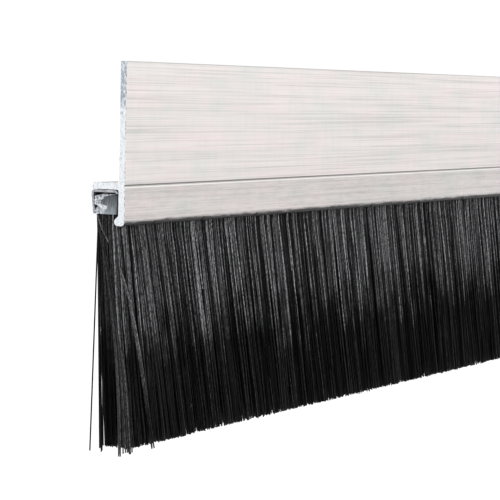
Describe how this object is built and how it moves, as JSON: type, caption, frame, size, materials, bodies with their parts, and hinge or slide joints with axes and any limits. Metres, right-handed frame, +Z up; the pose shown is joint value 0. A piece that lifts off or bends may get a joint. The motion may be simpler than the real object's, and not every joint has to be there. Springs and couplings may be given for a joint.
{
  "type": "brush door sweep",
  "caption": "Brush strip in a mill-finish aluminium flanged holder that seals the gap under a door with a flexible black filament curtain.",
  "frame": {"origin": "centre of the flange's flat back face, which lies on the door", "axes": "+X along the sweep, +Y square to the flange towards the door, +Z up; the bristles hang towards -Z"},
  "size_m": [0.914, 0.0105, 0.099],
  "materials": {
    "mill_aluminium": "mill",
    "galvanised_steel": "galvanised",
    "black_filament": "satin"
  },
  "bodies": {
    "holder": {"holder": "mill_aluminium"},
    "brush_strip": {"strip_channel": "galvanised_steel", "core_wire": "galvanised_steel", "filament_roots": "black_filament"},
    "bristle_curtain": {"bristles_01": "black_filament", "bristles_02": "black_filament", "bristles_03": "black_filament", "bristles_04": "black_filament", "bristles_05": "black_filament", "bristles_06": "black_filament", "bristles_07": "black_filament", "bristles_08": "black_filament", "bristles_09": "black_filament", "bristles_10": "black_filament"}
  },
  "joints": [
    {"name": "strip_slide", "type": "slide", "parent": "holder", "child": "brush_strip", "axis": [-1, 0, 0], "range_m": [0, 0.9]},
    {"name": "bristle_flex", "type": "hinge", "parent": "brush_strip", "child": "bristle_curtain", "pos_m": [0, 0.0042, -0.02655], "axis": [1, 0, 0], "range_deg": [-35, 35], "stiffness_Nm_per_rad": 1.5}
  ]
}
